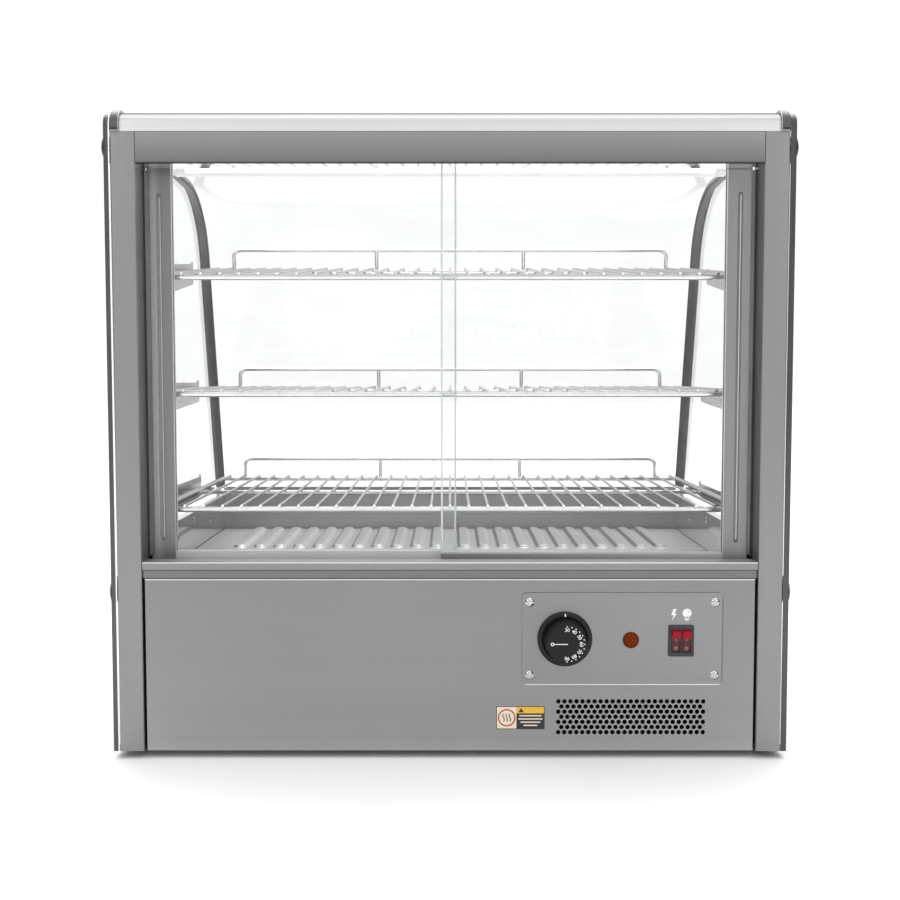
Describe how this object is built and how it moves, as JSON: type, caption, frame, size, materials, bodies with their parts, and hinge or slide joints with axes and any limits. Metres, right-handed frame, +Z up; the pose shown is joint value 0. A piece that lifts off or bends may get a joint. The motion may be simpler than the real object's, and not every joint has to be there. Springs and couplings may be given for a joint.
{
  "type": "hot food display case",
  "caption": "Countertop hot food display case with curved customer glass, sliding glass doors, wire shelves, a heated well and a thermostat panel on the staff side.",
  "frame": {"origin": "centre of the case's bounding box in plan, at the bottom of the feet", "axes": "+X to the right seen from the staff side, -Y towards the staff side, +Y towards the customer side, +Z up"},
  "size_m": [0.69, 0.499, 0.6492],
  "materials": {
    "brushed_stainless": "satin brushed",
    "control_panel_steel": "satin with printed marks",
    "well_steel": "semi-bright",
    "door_profile": "satin",
    "clear_glass": "clear tempered",
    "bright_chrome": "polished",
    "chromed_wire": "polished",
    "black_rubber": "matt",
    "black_plastic": "fine texture",
    "amber_lens": "translucent",
    "red_key": "translucent",
    "zinc_steel": "zinc plated",
    "copper": "drawn tube",
    "heater_sheath": "heat-tinted",
    "white_plastic": "moulded",
    "lamp_glass": "frosted white"
  },
  "bodies": {
    "cabinet": {"base_panel": "brushed_stainless", "base_shell": "brushed_stainless", "bottom_glass_ledge": "well_steel", "bracket_bottom_left": "well_steel", "bracket_bottom_right": "well_steel", "bracket_middle_left": "well_steel", "bracket_middle_right": "well_steel", "bracket_top_left": "well_steel", "bracket_top_right": "well_steel", "cable_gland": "black_plastic", "capillary_tube": "copper", "control_plate": "control_panel_steel", "control_plate_screws": "bright_chrome", "curved_glass": "clear_glass", "deck_plate": "well_steel", "door_seals": "black_rubber", "element_brackets": "well_steel", "end_cap_left": "bright_chrome", "end_cap_right": "bright_chrome", "feet": "black_rubber", "gasket_left": "black_rubber", "gasket_right": "black_rubber", "glass_fixings": "bright_chrome", "header": "brushed_stainless", "heating_element": "heater_sheath", "indicator_body": "black_plastic", "indicator_lens": "amber_lens", "lamp_holders": "white_plastic", "lamp_tube": "lamp_glass", "post_left": "brushed_stainless", "post_right": "brushed_stainless", "side_glass_left": "clear_glass", "side_glass_right": "clear_glass", "sill_track": "brushed_stainless", "soffit": "brushed_stainless", "switch_housing": "black_plastic", "terminal_block": "white_plastic", "thermostat_bezel": "black_plastic", "thermostat_body": "zinc_steel", "top_cover": "brushed_stainless", "top_glass_clamp": "well_steel", "upright_left": "well_steel", "upright_right": "well_steel", "well_liner": "well_steel", "well_screws": "bright_chrome"},
    "left_door": {"left_door_bottom_rail": "door_profile", "left_door_glass": "clear_glass", "left_door_handle": "door_profile", "left_door_top_rail": "door_profile"},
    "right_door": {"right_door_bottom_rail": "door_profile", "right_door_glass": "clear_glass", "right_door_handle": "door_profile", "right_door_top_rail": "door_profile"},
    "dial": {"thermostat_dial": "black_plastic", "dial_shaft": "zinc_steel"},
    "heat_rocker": {"rocker_heat": "red_key"},
    "light_rocker": {"rocker_light": "red_key"},
    "bottom_shelf": {"shelf_bottom": "chromed_wire"},
    "middle_shelf": {"shelf_middle": "chromed_wire"},
    "top_shelf": {"shelf_top": "chromed_wire"}
  },
  "joints": [
    {"name": "left_door_slide", "type": "slide", "parent": "cabinet", "child": "left_door", "axis": [1, 0, 0], "range_m": [0, 0.275]},
    {"name": "right_door_slide", "type": "slide", "parent": "cabinet", "child": "right_door", "axis": [-1, 0, 0], "range_m": [0, 0.275]},
    {"name": "dial_turn", "type": "hinge", "parent": "cabinet", "child": "dial", "pos_m": [0.1155, -0.2295, 0.1228], "axis": [0, 1, 0], "range_deg": [-180, 90]},
    {"name": "heat_rocker_tilt", "type": "hinge", "parent": "cabinet", "child": "heat_rocker", "pos_m": [0.2271, -0.2293, 0.121], "axis": [-1, 0, 0], "range_deg": [0, 24]},
    {"name": "light_rocker_tilt", "type": "hinge", "parent": "cabinet", "child": "light_rocker", "pos_m": [0.2379, -0.2293, 0.121], "axis": [-1, 0, 0], "range_deg": [0, 24]},
    {"name": "bottom_shelf_lift", "type": "slide", "parent": "cabinet", "child": "bottom_shelf", "axis": [0, 0, 1], "range_m": [0, 0.015]},
    {"name": "middle_shelf_lift", "type": "slide", "parent": "cabinet", "child": "middle_shelf", "axis": [0, 0, 1], "range_m": [0, 0.015]},
    {"name": "top_shelf_lift", "type": "slide", "parent": "cabinet", "child": "top_shelf", "axis": [0, 0, 1], "range_m": [0, 0.015]}
  ]
}
